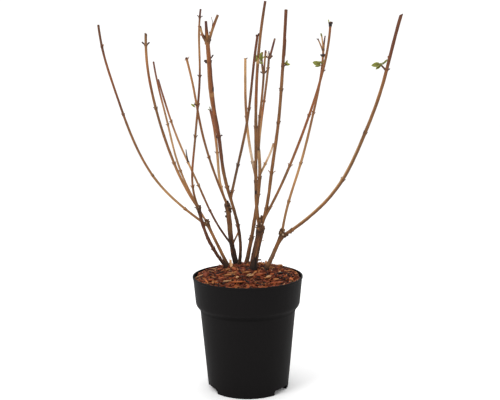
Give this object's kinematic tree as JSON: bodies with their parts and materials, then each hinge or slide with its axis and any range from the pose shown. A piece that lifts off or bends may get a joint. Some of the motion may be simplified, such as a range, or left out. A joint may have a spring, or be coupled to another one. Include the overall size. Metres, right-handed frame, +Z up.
{
  "type": "potted hydrangea shrub",
  "caption": "Cut-back panicle hydrangea: bare forking canes with a few small leaf tufts, standing in bark-topped potting mix in a round nursery pot.",
  "frame": {"origin": "middle of the pot's flat underside, on the surface that the pot stands on", "axes": "+Z up; the crown is widest along X; -Y is the front and +Y the back"},
  "size_m": [0.573, 0.402, 0.7289],
  "materials": {
    "pot": "near-black moulded plastic, satin with faint upright moulding streaks",
    "mulch": "reddish-brown composted bark chips, with tan, orange and dark ones, matt and damp",
    "old_bark": "grey-brown stringy bark on the old wood, rough",
    "young_bark": "warm tan to red-brown bark of last year's shoots, smooth with small pores, slight sheen",
    "leaf": "young yellow-green leaves with olive and brownish centres, soft"
  },
  "bodies": {
    "root": {"centre_left_bough": "young_bark", "centre_left_stem": "old_bark", "centre_short_bough": "young_bark", "centre_short_leaves": "leaf", "front_cane_fork": "young_bark", "front_cane_left_twig": "young_bark", "front_cane_lower": "old_bark", "front_cane_middle_twig": "young_bark", "front_cane_right_twig": "young_bark", "front_cane_upper": "old_bark", "left_back_bough_lower": "young_bark", "left_back_bough_upper": "young_bark", "left_back_stem": "old_bark", "left_front_bough_lower": "young_bark", "left_front_bough_upper": "young_bark", "left_front_stem": "old_bark", "left_rear_bough_lower": "young_bark", "left_rear_bough_upper": "young_bark", "left_tall_bough_lower": "young_bark", "left_tall_bough_upper": "young_bark", "left_tall_leaves": "leaf", "main_stem": "old_bark", "middle_back_bough": "young_bark", "middle_back_left_twig": "young_bark", "middle_back_right_twig": "young_bark", "middle_back_stem": "old_bark", "middle_rear_bough": "young_bark", "middle_rear_twig": "young_bark", "middle_side_bough": "young_bark", "outer_left_bough_lower": "young_bark", "outer_left_bough_upper": "young_bark", "outer_right_bough_lower": "young_bark", "outer_right_bough_upper": "young_bark", "outer_right_leaves": "leaf", "pale_rear_bough": "young_bark", "pot": "pot", "potting_mix": "mulch", "right_centre_bough_lower": "young_bark", "right_centre_bough_upper": "young_bark", "right_centre_leaves": "leaf", "right_front_bough_lower": "young_bark", "right_front_bough_upper": "young_bark", "right_front_leaves": "leaf", "right_rear_bough_lower": "young_bark", "right_rear_bough_upper": "young_bark", "right_rear_leaves": "leaf", "right_rear_left_twig": "young_bark", "right_rear_middle_twig": "young_bark", "right_rear_right_twig": "young_bark", "right_stem": "old_bark", "tall_bough_leaves": "leaf", "tall_bough_lower": "young_bark", "tall_bough_upper": "young_bark"}
  },
  "joints": []
}
